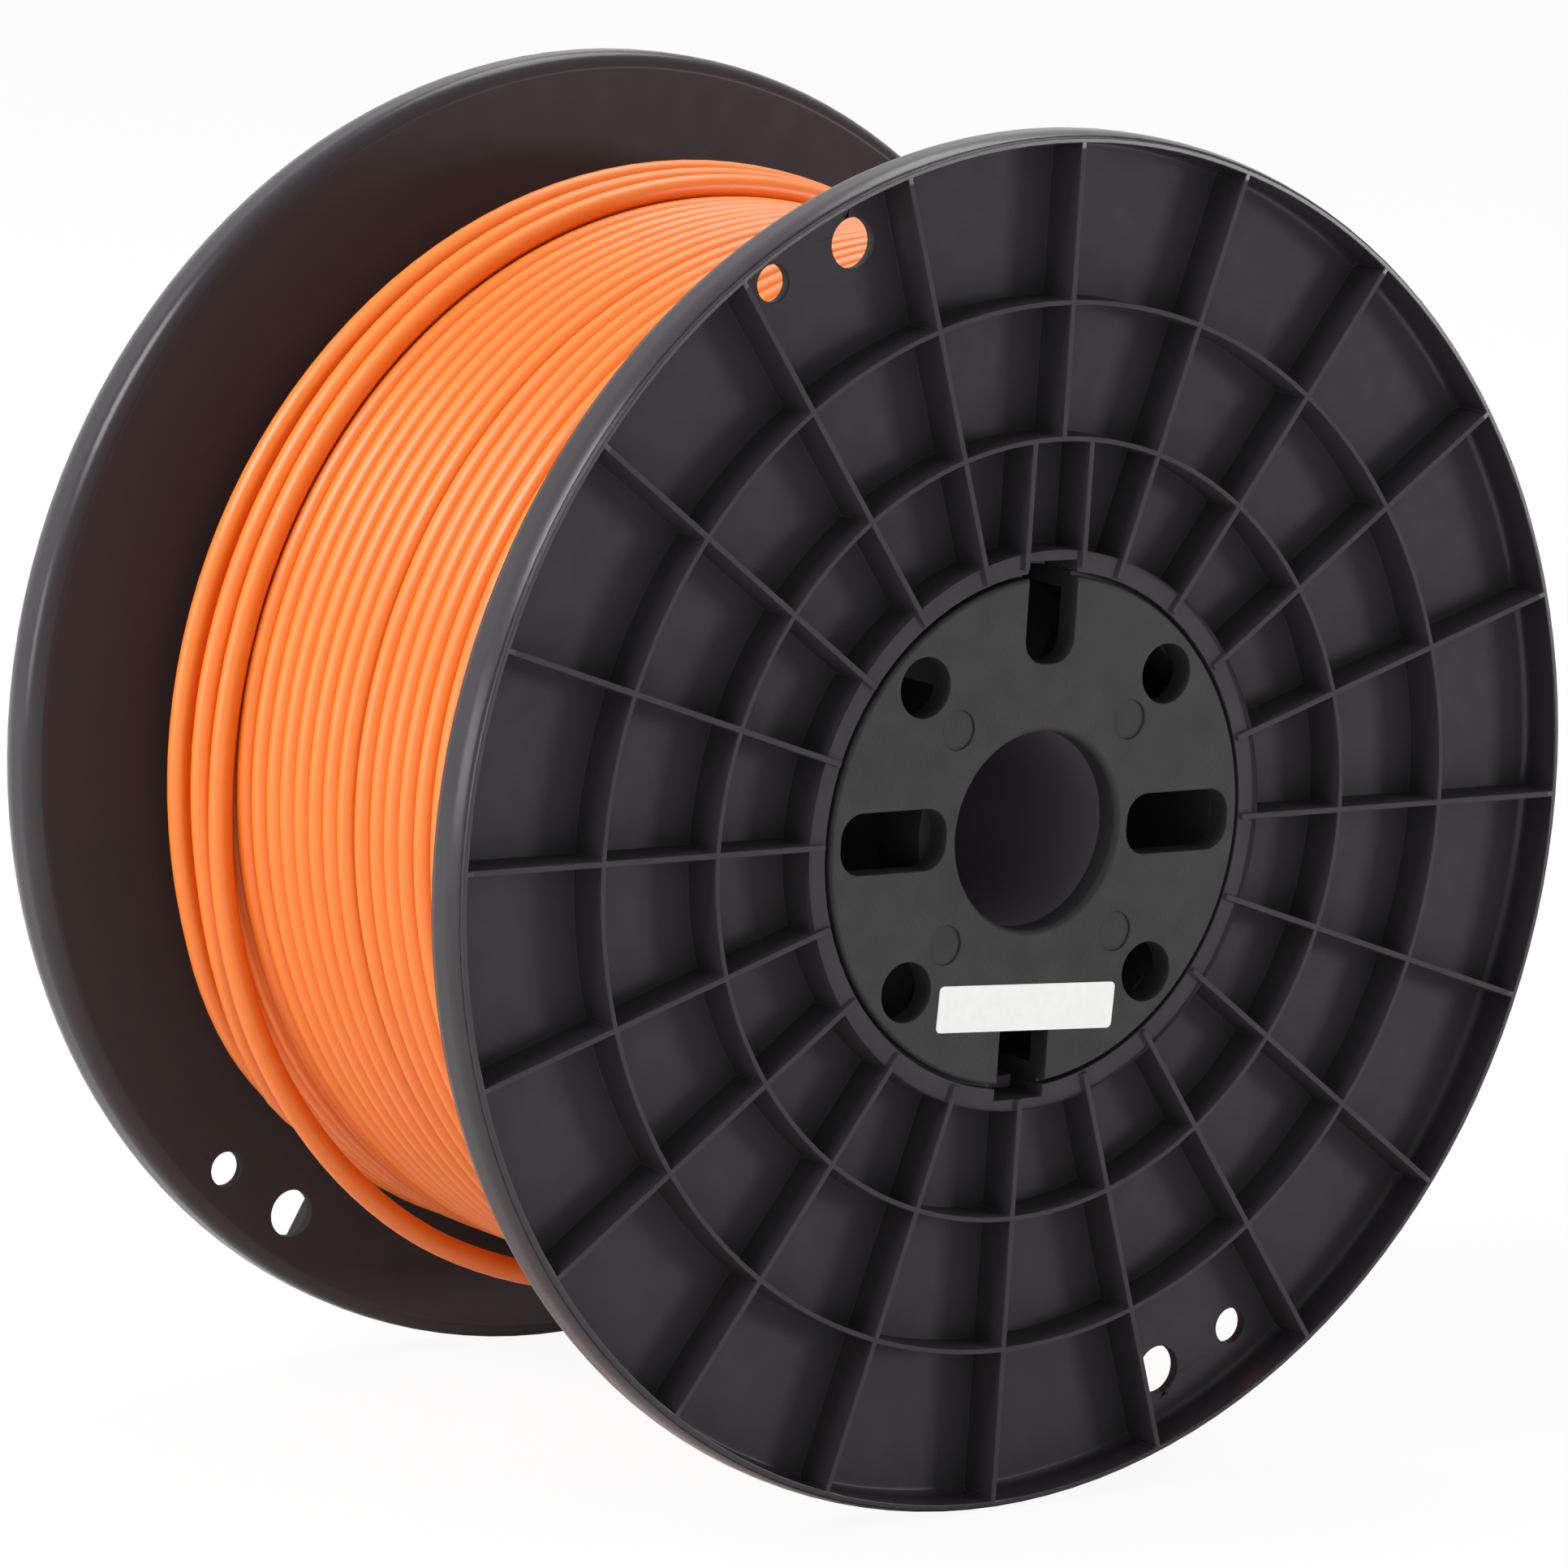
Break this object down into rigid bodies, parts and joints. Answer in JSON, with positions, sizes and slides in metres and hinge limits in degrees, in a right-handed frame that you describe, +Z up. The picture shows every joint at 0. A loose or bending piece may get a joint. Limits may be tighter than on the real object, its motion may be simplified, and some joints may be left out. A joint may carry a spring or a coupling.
{
  "type": "filament spool",
  "caption": "Black ribbed plastic spool, full of orange 3-D printing filament wound round its barrel, with a spindle bore and its loose end parked in the rear flange.",
  "frame": {"origin": "the middle of the spool, on the spindle's axis and halfway between the flanges", "axes": "+Y runs along the spindle from the front flange to the rear one, +Z is up, +X is to the right seen from the front"},
  "size_m": [0.16, 0.095, 0.16],
  "materials": {
    "flange_plastic": "satin moulded black plastic",
    "hub_plastic": "finely grained moulded black plastic",
    "core_plastic": "satin black plastic",
    "label_film": "matt white, blank",
    "filament": "satin orange extruded plastic"
  },
  "bodies": {
    "root": {"front_flange": "flange_plastic", "rear_flange": "flange_plastic", "front_hub": "hub_plastic", "rear_hub": "hub_plastic", "barrel": "core_plastic", "spindle_tube": "core_plastic", "label": "label_film", "winding_layer_01": "filament", "winding_layer_02": "filament", "winding_layer_03": "filament", "winding_layer_04": "filament", "winding_layer_05": "filament", "winding_layer_06": "filament", "winding_layer_07": "filament", "winding_layer_08": "filament", "winding_layer_09": "filament", "winding_layer_10": "filament", "winding_layer_11": "filament", "winding_layer_12": "filament", "winding_layer_13": "filament", "winding_top_turns": "filament", "loose_end": "filament"}
  },
  "joints": []
}
